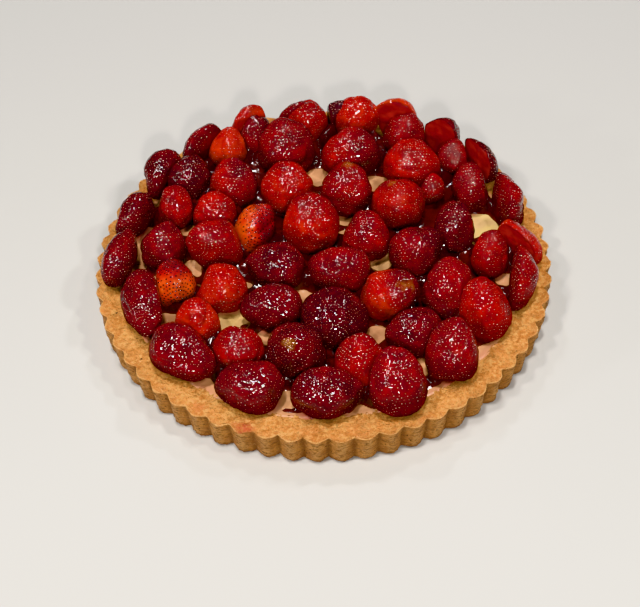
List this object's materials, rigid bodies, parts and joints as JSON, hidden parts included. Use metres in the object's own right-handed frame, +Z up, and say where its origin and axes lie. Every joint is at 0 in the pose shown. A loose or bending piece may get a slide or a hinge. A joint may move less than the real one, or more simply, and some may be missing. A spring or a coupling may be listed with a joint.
{
  "type": "strawberry tart",
  "caption": "Round strawberry tart: a fluted shortcrust case with a flat rim, filled with custard and covered with glazed whole and halved strawberries.",
  "frame": {"origin": "centre of the case's flat base, on the surface it stands on", "axes": "+Z up out of the filling, -Y towards the front of the tart, +X to its right"},
  "size_m": [0.2396, 0.2396, 0.0472],
  "materials": {
    "crust": "matt, grainy baked shortcrust",
    "custard": "smooth, slightly glossy custard",
    "berry_dark": "glazed, dark crimson",
    "berry_red": "glazed, red",
    "berry_bright": "glazed, bright red",
    "berry_orange": "glazed, orange red"
  },
  "bodies": {
    "root": {"crust": "crust", "custard": "custard", "berry_01": "berry_dark", "berry_02": "berry_dark", "berry_03": "berry_red", "berry_04": "berry_red", "berry_05": "berry_red", "berry_06": "berry_bright", "berry_07": "berry_red", "berry_08": "berry_bright", "berry_09": "berry_dark", "berry_10": "berry_dark", "berry_11": "berry_dark", "berry_12": "berry_orange", "berry_13": "berry_red", "berry_14": "berry_dark", "berry_15": "berry_red", "berry_16": "berry_dark", "berry_17": "berry_dark", "berry_18": "berry_dark", "berry_19": "berry_dark", "berry_20": "berry_dark", "berry_21": "berry_orange", "berry_22": "berry_dark", "berry_23": "berry_dark", "berry_24": "berry_red", "berry_25": "berry_orange", "berry_26": "berry_dark", "berry_27": "berry_dark", "berry_28": "berry_dark", "berry_29": "berry_red", "berry_30": "berry_red", "berry_31": "berry_bright", "berry_32": "berry_orange", "berry_33": "berry_orange", "berry_34": "berry_dark", "berry_35": "berry_dark", "berry_36": "berry_red", "berry_37": "berry_dark", "berry_38": "berry_orange", "berry_39": "berry_bright", "berry_40": "berry_bright", "berry_41": "berry_dark", "berry_42": "berry_red", "berry_43": "berry_bright", "berry_44": "berry_red", "berry_45": "berry_dark", "berry_46": "berry_bright", "berry_47": "berry_bright", "berry_48": "berry_orange", "berry_49": "berry_bright", "berry_50": "berry_red", "berry_51": "berry_red", "berry_52": "berry_red", "berry_53": "berry_red", "berry_54": "berry_dark", "berry_55": "berry_orange", "berry_56": "berry_dark", "berry_57": "berry_bright", "berry_58": "berry_bright"}
  },
  "joints": []
}
